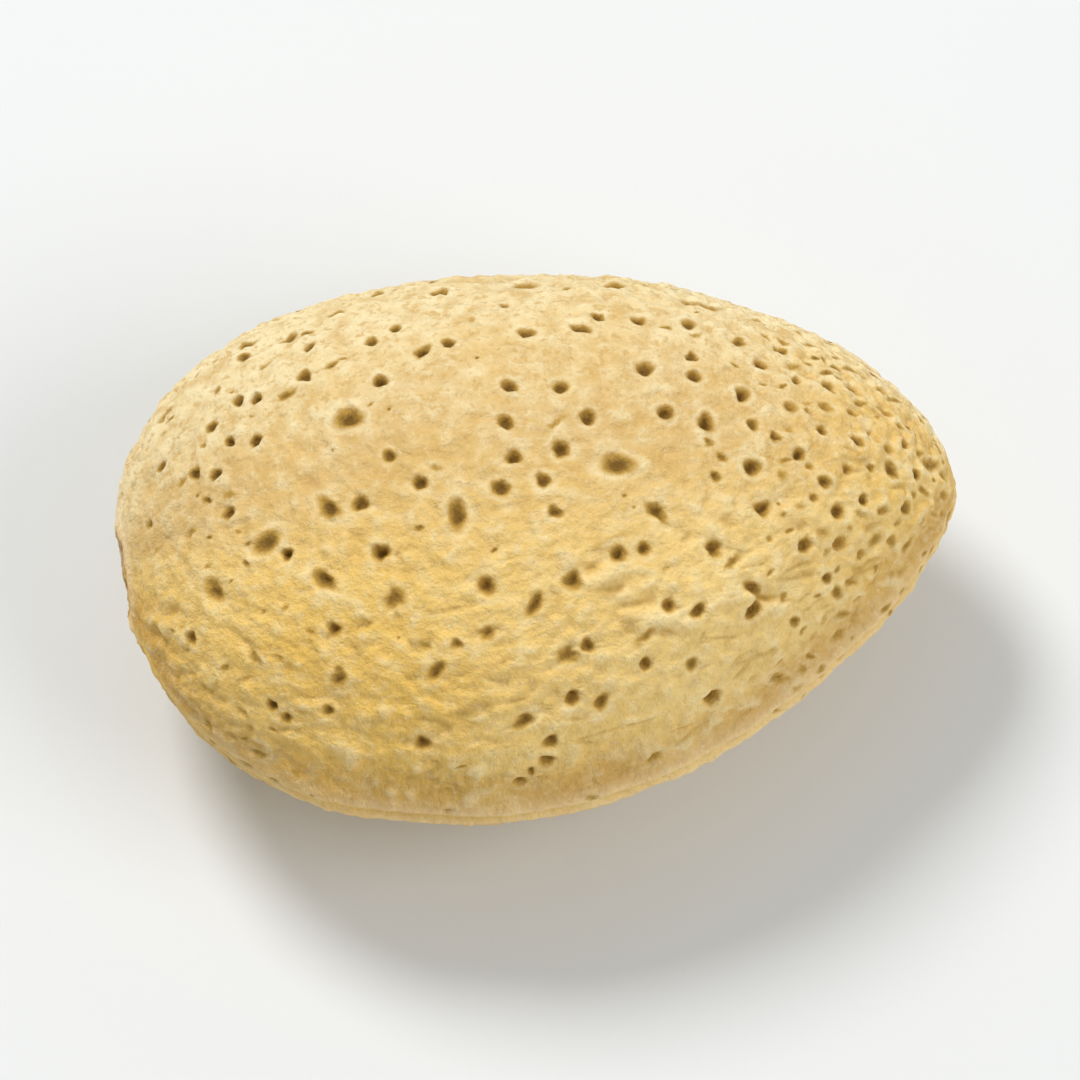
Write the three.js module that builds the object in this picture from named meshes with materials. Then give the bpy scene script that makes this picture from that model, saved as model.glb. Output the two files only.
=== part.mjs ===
// An almond in its shell, lying on one broad face. Millimetres, +Z up.
// X runs from the stem end to the tip, Y from the keeled edge to the back edge, Z through the thickness.
// A place on the shell is a polar angle (0 at the stem end, PI at the tip) and a turn about the long axis
// (0 at the back edge, PI/2 on the crown of the upper face, PI at the keel, -PI/2 under the nut).
import * as THREE from "three";
import { ConvexHull } from "three/addons/math/ConvexHull.js";

const { abs, acos, asin, cos, exp, hypot, max, PI, sign, sin, sqrt } = Math;
const { clamp, degToRad, lerp } = THREE.MathUtils;

// Driving dimensions
const LENGTH = 34; // stem end to tip
const KEEL_REACH = 12.1; // long axis to the foot of the keel
const BACK_REACH = 11.4; // long axis to the back edge
const UPPER_RISE = 8.2; // long axis to the crown of the upper face
const LOWER_RISE = 8.0; // long axis to the crown of the lower face
const REST_CUT = 0.2; // taken off the lower crown by the flat spot that the nut rests on

// Outlines: a lower stem power makes the stem end blunter, a higher tip power makes the tip sharper,
// and the pinch draws the outline in towards the tip, by that share of its width
const KEEL_OUTLINE = { stem: 0.46, tip: 0.65, pinch: 0.19 };
const BACK_OUTLINE = { stem: 0.36, tip: 0.47, pinch: 0.08 };
const FACE_OUTLINE = { stem: 0.53, tip: 0.66, pinch: 0 };
const PINCH_FROM = 0.6; // share of the length where the pinch begins
const EDGE_POWER = 1.18; // above 1 the section thins towards both edges

// Seams: a double ridge with a fine groove between on the keel, and one low ridge on the back
const KEEL = { rise: 0.52, spread: 0.95, groove: 0.26, grooveSpread: 0.26, crest: 0.5, foot: 1.5 };
const BACK = { rise: 0.24, spread: 0.7, crest: 0.45, foot: 1.2 };
const SEAM_FADE = { stem: 0.3, tip: 0.9 }; // shares of the length where the seams are at full height
const SEAM_STEP = 0.85; // between sites along a seam
const SEAM_ROOM = 0.8; // share of the thickness that a seam's lines may take up near the ends

// Stem scar: an oval dish with a lip and a nub of fibre in the middle
const SCAR = { halfWidth: 1.9, halfHeight: 1.3, depth: 0.3, lip: 0.05, lipAt: 1.12, nub: 0.2 };
const SCAR_SHARES = { floor: 0.55, lip: 0.2, nub: 0.3 }; // edge of the floor, spreads of the lip and nub
const SCAR_RINGS = [0.4, 0.76, 1.12, 1.55];
const SCAR_NET = { first: 8, more: 4 }; // sites on the first ring, and how many more on each next one
const SCAR_REACH = 0.3; // share of the length beyond which the scar is not felt

// Pits: open ends of the shell's channels. Depths are shares of a pit's radius.
const PIT = { tries: 7000, smallest: 0.24, largest: 0.46, gap: 0.36, deep: 1.25, shallow: 0.55 };
const PIT_NET = { rim: 7, floor: 3, floorShare: 0.42 };

// Pits of the upper face, from the stem end to the tip: share of the length, turn in degrees and radius,
// then for a long pit its stretch and its slant in degrees (0 along the nut, 90 round it)
const DEEP_PITS = [
  [0.057, 65, 0.25], [0.073, 130, 0.21, 1.3, 90], [0.095, 77, 0.23, 1.3, 20], [0.119, 81, 0.25],
  [0.139, 73, 0.21], [0.156, 60.5, 0.23], [0.158, 145, 0.24], [0.17, 76, 0.26], [0.177, 63, 0.23],
  [0.192, 106.5, 0.24], [0.232, 113, 0.28, 1.9, 40], [0.236, 62, 0.27], [0.237, 124, 0.27],
  [0.283, 98, 0.29], [0.3, 108.5, 0.31], [0.323, 70, 0.28], [0.323, 89, 0.25], [0.328, 151.5, 0.3],
  [0.351, 134, 0.24, 2, -50], [0.355, 95.5, 0.26], [0.377, 63, 0.23, 1.8, -50], [0.394, 103, 0.29, 2, 90],
  [0.409, 61.5, 0.24], [0.42, 117.5, 0.3, 1.35, 80], [0.448, 98.5, 0.29, 1.2, 30], [0.463, 84.5, 0.29],
  [0.468, 92.5, 0.28], [0.473, 76, 0.28], [0.473, 122.5, 0.27, 1.7, -60], [0.472, 159.5, 0.23, 1.4],
  [0.478, 154, 0.24, 1.3, -30], [0.499, 98, 0.25, 1.2, 60], [0.502, 60.5, 0.27, 1.2], [0.507, 144, 0.29],
  [0.524, 91.5, 0.33], [0.53, 132.5, 0.25, 1.2, 90], [0.534, 76.5, 0.28], [0.541, 146.5, 0.25, 1.5, -55],
  [0.56, 84.5, 0.3], [0.568, 59, 0.21, 1.9, 25], [0.577, 114.5, 0.33], [0.59, 54, 0.22],
  [0.597, 139.5, 0.22, 1.3, 90], [0.608, 114, 0.28], [0.629, 106.5, 0.25, 1.9, 50], [0.63, 127.5, 0.27],
  [0.637, 71, 0.3, 1.2, 90], [0.638, 54, 0.27], [0.654, 83, 0.31], [0.664, 130.5, 0.26, 1.3, -15],
  [0.673, 156, 0.3], [0.691, 117, 0.33], [0.694, 72, 0.27], [0.695, 65.5, 0.22], [0.701, 85, 0.29, 1.3, 90],
  [0.731, 136, 0.24, 1.6, -35], [0.733, 130, 0.22, 1.8, 40], [0.748, 97.5, 0.33], [0.749, 75.5, 0.29],
  [0.755, 109.5, 0.3], [0.777, 63, 0.27], [0.801, 123, 0.31], [0.804, 53, 0.22, 1.3, 30],
  [0.807, 93, 0.23], [0.847, 114.5, 0.3], [0.856, 63.5, 0.22, 1.4, 45], [0.87, 49, 0.2],
  [0.878, 111.5, 0.22], [0.88, 85, 0.25], [0.932, 120, 0.24], [0.948, 96, 0.21],
];
const SHALLOW_PITS = [
  [0.105, 114, 0.28, 1.7, 40], [0.12, 64, 0.24], [0.129, 93.5, 0.24], [0.169, 103, 0.36, 1.4, -20],
  [0.17, 43, 0.24], [0.173, 148, 0.22], [0.222, 143.5, 0.22], [0.224, 44, 0.26, 1.5],
  [0.238, 135, 0.28, 1.5, 80], [0.247, 52, 0.2], [0.247, 98, 0.28, 1.7, 50], [0.281, 78, 0.4, 1.25, 20],
  [0.311, 118, 0.36], [0.319, 56, 0.22], [0.349, 53, 0.2], [0.378, 128.5, 0.2], [0.415, 127, 0.23, 1.3, -20],
  [0.449, 147.5, 0.23, 1.7, -35], [0.506, 134, 0.28, 1.4], [0.508, 104.5, 0.25], [0.52, 118.5, 0.35],
  [0.589, 95.5, 0.36, 1.6, 10], [0.652, 143.5, 0.2, 1.4, -50], [0.696, 53.5, 0.26], [0.703, 99.5, 0.2],
  [0.754, 56, 0.22], [0.756, 84.5, 0.2, 1.3, 90], [0.78, 88, 0.2], [0.78, 146, 0.21], [0.824, 137, 0.2],
  [0.833, 103, 0.21, 1.3], [0.835, 145, 0.21, 1.5, 80], [0.839, 83.5, 0.2],
  [0.918, 96.5, 0.23, 1.4, 50], [0.946, 64.5, 0.2],
];
const LISTED = { from: 40, to: 172, tip: 0.8 }; // turns in degrees and end along the nut that the lists cover

// The other pits are drawn by chance, smaller and closer together towards the ends
const PIT_SPACING = { face: 1.75, tip: 1.2, stem: 1.45, edge: 2.9 };
const PIT_ENDS = { stem: 0.07, tip: 0.985 }; // shares of the length without pits
const PIT_UNEVEN = { least: 0.62, extra: 0.85 }; // share of the spacing, and what chance adds to it
const PIT_SIZES = { power: 1.8, endShrink: 0.3 }; // a higher power makes large pits rarer
const PIT_STRETCH = { long: 1.2, power: 4, atEdge: 0.7 }; // a higher power makes long pits rarer
const SHALLOW_SHARE = 0.22;
const TIP_ZONE = [0.66, 0.9];
const STEM_ZONE = [0.24, 0.08];
const EDGE_ZONE = [0.62, 0.97];

// Furrows that run out of the stem scar along the shell
const FURROW = { eachFace: 5, width: 0.5, shortest: 2.4, longest: 5.5, step: 0.8 };
const FURROW_DEPTH = { upper: 0.12, lower: 0.28 };
const FURROW_START = 2; // in scar sizes from the middle of the scar
const FURROW_FAN = [0.4, PI - 0.4]; // turns of the first and last furrow of a face
const FURROW_GAP = 0.6; // how far a furrow keeps from any other mark
const FURROW_ROOM = [0.25, 0.5]; // where a furrow's own room in the fan starts, and how wide it is
const FURROW_RARITY = 1.6; // higher makes long furrows rarer
const FURROW_SWAY = 0.5; // sideways for a step along, between one side and the other

// Long low swells of the shell
const LUMPS = [
  { rise: 0.05, wave: new THREE.Vector3(0.35, 0.4, 0.2), phase: 1.2 },
  { rise: 0.045, wave: new THREE.Vector3(-0.3, 0.45, -0.3), phase: 0.4 },
  { rise: 0.03, wave: new THREE.Vector3(0.75, -0.6, 0.5), phase: 2.1 },
];

// Net between the marks
const NET_POINTS = 1500;
const NET_GAP = 0.5; // how far its points keep from any mark
const REST_CORNERS = 18;
const REST_SEARCH = LENGTH / 4; // how far out its corners are looked for
const REST_MARGIN = 0.45; // height above the flat spot where pits begin

const bump = (distance, spread) => exp(-((distance / spread) ** 2));

// A repeatable chance between 0 and 1
const CHANCE_FACTOR = 48271;
const CHANCE_MODULUS = 2147483647;
let chanceState = 20419;
function chance() {
  chanceState = (chanceState * CHANCE_FACTOR) % CHANCE_MODULUS;
  return chanceState / CHANCE_MODULUS;
}

// Eases from 0 to 1 as the value goes from the first bound to the second, which may be the lower one
function ease(from, to, value) {
  const share = clamp((value - from) / (to - from), 0, 1);
  return share * share * (3 - 2 * share);
}

// Finds by halving the largest value between 0 and the limit that still passes a test
const HALVINGS = 30;
function lastPassing(limit, passes) {
  let low = 0;
  let high = limit;
  for (let halving = 0; halving < HALVINGS; halving++) {
    const middle = (low + high) / 2;
    if (passes(middle)) low = middle;
    else high = middle;
  }
  return low;
}

const alongOf = (polar) => (1 - cos(polar)) / 2;
const polarOf = (along) => acos(1 - 2 * along);

// Half-width of an outline, as a share of its widest, at a share of the length
const widestAt = ({ stem, tip }) => stem / (stem + tip);
function swell(along, outline) {
  const widest = widestAt(outline);
  const egg = (along / widest) ** outline.stem * ((1 - along) / (1 - widest)) ** outline.tip;
  return egg * (1 - outline.pinch * ease(PINCH_FROM, 1, along));
}

// The shell without its relief
function smoothShell(polar, turn) {
  const along = alongOf(polar);
  const side = cos(turn);
  const rise = sin(turn);
  const reach = side > 0 ? BACK_REACH * swell(along, BACK_OUTLINE) : KEEL_REACH * swell(along, KEEL_OUTLINE);
  const crown = (rise > 0 ? UPPER_RISE : LOWER_RISE) * swell(along, FACE_OUTLINE);
  return new THREE.Vector3(LENGTH * along, reach * side, crown * sign(rise) * abs(rise) ** EDGE_POWER);
}

// How the shell moves for a change of polar angle and of turn, and its outward normal
const STEP = 1e-3;
const POLE_MARGIN = 0.03;
function tangents(polar, turn) {
  const kept = clamp(polar, POLE_MARGIN, PI - POLE_MARGIN);
  const along = smoothShell(kept + STEP, turn).sub(smoothShell(kept - STEP, turn)).divideScalar(2 * STEP);
  const across = smoothShell(kept, turn + STEP).sub(smoothShell(kept, turn - STEP)).divideScalar(2 * STEP);
  const normal = across.clone().cross(along).normalize();
  return { along, across, normal };
}

// Moves from a place by millimetres along the nut and round it
function beside({ polar, turn }, alongMm, acrossMm, sunk = 0) {
  const { along, across } = tangents(polar, turn);
  return { polar: polar + alongMm / along.length(), turn: turn + acrossMm / across.length(), sunk };
}

// Low relief: swells, the two seams and the stem scar
function lumps(point, along) {
  const height = LUMPS.reduce((sum, { rise, wave, phase }) => sum + rise * sin(wave.dot(point) + phase), 0);
  return height * ease(1, SEAM_FADE.tip, along);
}

function seams({ y, z }, along) {
  const ends = ease(0, SEAM_FADE.stem, along) * ease(1, SEAM_FADE.tip, along);
  if (y > 0) return ends * BACK.rise * bump(z, BACK.spread);
  return ends * (KEEL.rise * bump(z, KEEL.spread) - KEEL.groove * bump(z, KEEL.grooveSpread));
}

const scarShare = ({ y, z }) => hypot(y / SCAR.halfWidth, z / SCAR.halfHeight);

function stemScar(point, along) {
  if (along > SCAR_REACH) return 0;
  const share = scarShare(point);
  const dish = SCAR.depth * ease(1, SCAR_SHARES.floor, share);
  const lip = SCAR.lip * bump(share - SCAR.lipAt, SCAR_SHARES.lip);
  return lip + SCAR.nub * bump(share, SCAR_SHARES.nub) - dish;
}

// The finished shell: sunk is the depth of a pit or furrow at that place
function shell({ polar, turn, sunk }) {
  const point = smoothShell(polar, turn);
  const along = alongOf(polar);
  const relief = lumps(point, along) + seams(point, along) + stemScar(point, along) - sunk;
  return point.addScaledVector(tangents(polar, turn).normal, relief);
}

const placeOf = ({ polar, turn }) => smoothShell(polar, turn);
const restHeight = REST_CUT - LOWER_RISE;

// Corners of the flat spot: outwards from under the thickest part, to where the shell rises off the surface
function restSites() {
  const middle = { polar: polarOf(widestAt(FACE_OUTLINE)), turn: -PI / 2 };
  return Array.from({ length: REST_CORNERS }, (_, corner) => {
    const heading = (2 * PI * corner) / REST_CORNERS;
    const siteAt = (reach) => beside(middle, reach * cos(heading), reach * sin(heading));
    const reach = lastPassing(REST_SEARCH, (mm) => shell(siteAt(mm)).z < restHeight);
    return siteAt(reach);
  });
}

// Lines of sites along both seams, at set heights above and below the seam, each half a step off the last
function seamSites() {
  const lines = [
    { seam: PI, height: 0, shift: 0.5 },
    { seam: PI, height: KEEL.crest, shift: 1 },
    { seam: PI, height: KEEL.foot, shift: 0.5 },
    { seam: 0, height: 0, shift: 0.5 },
    { seam: 0, height: BACK.crest, shift: 1 },
    { seam: 0, height: BACK.foot, shift: 0.5 },
  ];
  const sites = [];
  for (const { seam, height, shift } of lines) {
    for (let run = shift * SEAM_STEP; run < LENGTH; run += SEAM_STEP) {
      const polar = polarOf(run / LENGTH);
      const crown = UPPER_RISE * swell(run / LENGTH, FACE_OUTLINE);
      if (height > SEAM_ROOM * crown) continue;
      const lean = asin((height / crown) ** (1 / EDGE_POWER));
      const turns = height > 0 ? [seam - lean, seam + lean] : [seam];
      sites.push(...turns.map((turn) => ({ polar, turn, sunk: 0 })));
    }
  }
  return sites;
}

// Where the scar reaches a share of its size, on the way out from the stem end
function polarAtScar(share, turn) {
  return lastPassing(PI / 2, (polar) => scarShare(smoothShell(polar, turn)) < share);
}

// Rings of sites round the stem scar
function scarSites() {
  const rings = SCAR_RINGS.flatMap((share, ring) => {
    const count = SCAR_NET.first + SCAR_NET.more * ring;
    return Array.from({ length: count }, (_, step) => {
      const turn = (2 * PI * (step + 0.5 * (ring % 2))) / count;
      return { polar: polarAtScar(share, turn), turn, sunk: 0 };
    });
  });
  return [{ polar: 0, turn: 0, sunk: 0 }, ...rings];
}

// A pit with its place on the shell and the room that it takes up
function pitAt(along, turn, radius, stretch, slant, depthShare) {
  const polar = polarOf(along);
  const point = smoothShell(polar, turn);
  const room = radius * stretch + PIT.gap;
  return { polar, turn, point, radius, stretch, slant, depth: radius * depthShare, room };
}

function listedPits(rows, depthShare) {
  return rows.map(([along, turn, radius, stretch = 1, slant = 0]) =>
    pitAt(along, degToRad(turn), radius, stretch, degToRad(slant), depthShare),
  );
}

// Listed pits, then those drawn by chance, each keeping its own distance from the ones before it
function pits() {
  const found = [...listedPits(DEEP_PITS, PIT.deep), ...listedPits(SHALLOW_PITS, PIT.shallow)];
  for (let attempt = 0; attempt < PIT.tries; attempt++) {
    const along = chance();
    const turn = 2 * PI * chance();
    const [nearness, size, length, lean, shallowness] = Array.from({ length: 5 }, chance);
    const listed = turn > degToRad(LISTED.from) && turn < degToRad(LISTED.to) && along < LISTED.tip;
    if (listed || along < PIT_ENDS.stem || along > PIT_ENDS.tip) continue;

    const tip = ease(...TIP_ZONE, along);
    const stem = ease(...STEM_ZONE, along);
    const edge = ease(...EDGE_ZONE, abs(cos(turn)));
    const ends = lerp(lerp(PIT_SPACING.face, PIT_SPACING.tip, tip), PIT_SPACING.stem, stem);
    const unevenness = PIT_UNEVEN.least + PIT_UNEVEN.extra * nearness;
    const spacing = lerp(ends, PIT_SPACING.edge, edge) * unevenness;

    const shrink = 1 - PIT_SIZES.endShrink * max(tip, stem);
    const radius = lerp(PIT.smallest, PIT.largest, size ** PIT_SIZES.power) * shrink;
    const edgeStretch = PIT_STRETCH.atEdge * max(stem, edge) * length;
    const stretch = 1 + PIT_STRETCH.long * length ** PIT_STRETCH.power + edgeStretch;
    const depthShare = shallowness < SHALLOW_SHARE ? PIT.shallow : PIT.deep;
    const pit = pitAt(along, turn, radius, stretch, lean - 0.5, depthShare);
    const { point, room } = pit;
    if (abs(point.z) < KEEL.foot + room || point.z < restHeight + REST_MARGIN) continue;
    const clear = (other) => other.point.distanceTo(point) > max(spacing, room + other.room - PIT.gap);
    if (found.every(clear)) found.push(pit);
  }
  return found;
}

// A pit is a ring of sites on the shell and a smaller ring on its floor
function pitSites(pit) {
  const ring = (count, share, sunk, phase) =>
    Array.from({ length: count }, (_, corner) => {
      const angle = (2 * PI * (corner + phase)) / count;
      const long = pit.radius * pit.stretch * share * cos(angle);
      const wide = pit.radius * share * sin(angle);
      const alongMm = long * cos(pit.slant) - wide * sin(pit.slant);
      const acrossMm = long * sin(pit.slant) + wide * cos(pit.slant);
      return beside(pit, alongMm, acrossMm, sunk);
    });
  return [...ring(PIT_NET.rim, 1, 0, 0), ...ring(PIT_NET.floor, PIT_NET.floorShare, pit.depth, 0.5)];
}

// Furrows: each runs from near the scar towards the tip, deepest in its first part, and fades out
function furrowSites() {
  const sites = [];
  for (let index = 0; index < 2 * FURROW.eachFace; index++) {
    const face = index % 2 ? -1 : 1;
    const depth = face > 0 ? FURROW_DEPTH.upper : FURROW_DEPTH.lower;
    const fan = ((index >> 1) + FURROW_ROOM[0] + FURROW_ROOM[1] * chance()) / FURROW.eachFace;
    const turn = face * lerp(...FURROW_FAN, fan);
    const span = lerp(FURROW.shortest, FURROW.longest, chance() ** FURROW_RARITY);
    const sway = FURROW_SWAY * (chance() - 0.5);
    let place = { polar: polarAtScar(FURROW_START, turn), turn };
    for (let run = 0; run <= span; run += FURROW.step) {
      const share = run / span;
      const sunk = depth * sin(PI * sqrt(share));
      const banks = [-FURROW.width, FURROW.width].map((mm) => beside(place, FURROW.step / 2, mm));
      sites.push({ ...place, sunk }, ...banks);
      place = beside(place, FURROW.step, sway * FURROW.step * share);
    }
  }
  return sites;
}

// Evenly spread sites, on a golden-angle spiral
const GOLDEN_ANGLE = PI * (3 - sqrt(5));
function netSites() {
  return Array.from({ length: NET_POINTS }, (_, index) => {
    const polar = polarOf((index + 0.5) / NET_POINTS);
    return { polar, turn: index * GOLDEN_ANGLE, sunk: 0 };
  });
}

// Sites that keep a gap from all the places given, and stay off the flat spot
function clearOf(sites, places, gap) {
  return sites.filter((site) => {
    const place = placeOf(site);
    return place.z > restHeight && places.every((other) => other.distanceTo(place) > gap);
  });
}

// All sites are joined as the hull of their directions on a unit ball, then moved out to the shell
function almondGeometry() {
  const sites = [...restSites(), ...seamSites(), ...scarSites(), ...pits().flatMap(pitSites)];
  sites.push(...clearOf(furrowSites(), sites.map(placeOf), FURROW_GAP));
  sites.push(...clearOf(netSites(), sites.map(placeOf), NET_GAP));

  const directions = sites.map(
    ({ polar, turn }) => new THREE.Vector3(-cos(polar), sin(polar) * cos(turn), sin(polar) * sin(turn)),
  );
  const indexOf = new Map(directions.map((direction, index) => [direction, index]));
  const triangles = new ConvexHull().setFromPoints(directions).faces.flatMap((face) => {
    const corners = [face.edge, face.edge.next, face.edge.prev];
    return corners.map((edge) => indexOf.get(edge.head().point));
  });
  const points = sites.map(shell);
  points.forEach((point, index) => {
    point.z = index < REST_CORNERS ? restHeight : max(point.z, restHeight);
  });

  const geometry = new THREE.BufferGeometry().setFromPoints(points);
  geometry.setIndex(triangles);
  geometry.computeVertexNormals();
  geometry.computeBoundingBox();
  return geometry;
}

// The origin is under the middle of the nut, on the surface that it rests on
const geometry = almondGeometry();
const { min: low, max: high } = geometry.boundingBox;
geometry.translate(-(low.x + high.x) / 2, -(low.y + high.y) / 2, -low.z);

const shellMaterial = new THREE.MeshStandardMaterial({ color: 0xdcba78, roughness: 0.72, metalness: 0 });
const almond = new THREE.Mesh(geometry, shellMaterial);
almond.name = "almond";

const part = new THREE.Group();
part.add(almond);

export default part;
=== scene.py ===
import math

import bpy
import numpy as np
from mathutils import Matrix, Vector, geometry, kdtree, noise


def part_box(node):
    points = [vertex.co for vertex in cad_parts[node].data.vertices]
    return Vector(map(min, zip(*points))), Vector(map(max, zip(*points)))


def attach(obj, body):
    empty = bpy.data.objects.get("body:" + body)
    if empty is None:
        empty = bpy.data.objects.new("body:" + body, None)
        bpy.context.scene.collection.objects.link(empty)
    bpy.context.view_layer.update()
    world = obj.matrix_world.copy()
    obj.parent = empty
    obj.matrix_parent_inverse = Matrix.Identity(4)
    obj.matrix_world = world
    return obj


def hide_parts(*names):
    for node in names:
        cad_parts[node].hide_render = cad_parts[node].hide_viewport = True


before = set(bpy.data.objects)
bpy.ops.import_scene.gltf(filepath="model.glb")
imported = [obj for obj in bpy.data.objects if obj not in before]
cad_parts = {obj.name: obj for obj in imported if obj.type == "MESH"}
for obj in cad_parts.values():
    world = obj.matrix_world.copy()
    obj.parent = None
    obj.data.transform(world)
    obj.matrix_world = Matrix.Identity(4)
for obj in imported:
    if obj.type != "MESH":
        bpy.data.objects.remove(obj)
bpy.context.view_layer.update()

pi = math.pi
mm = 0.001  # metres in a millimetre
nutLow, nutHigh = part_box("almond")
print("frame loaded:", sorted(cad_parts))


# Small helpers for numbers and arrays

def ease(start, end, value):  # 0 to 1 as the value goes from start to end, up or down
    share = np.clip((value - start) / (end - start), 0, 1)
    return share * share * (3 - 2 * share)


def bump(distance, spread):
    return np.exp(-((distance / spread) ** 2))


def blendOf(low, high, share):
    return low + (high - low) * share


def seededChance(state):  # repeatable draws between 0 and 1
    factor, modulus = 48271, 2147483647
    while True:
        state = state * factor % modulus
        yield state / modulus


def lastPassing(limit, passes, halvings=30):  # the largest value up to the limit that still passes a test
    low, high = 0.0, limit
    for halving in range(halvings):
        middle = (low + high) / 2
        low, high = (middle, high) if passes(middle) else (low, middle)
    return low


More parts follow.
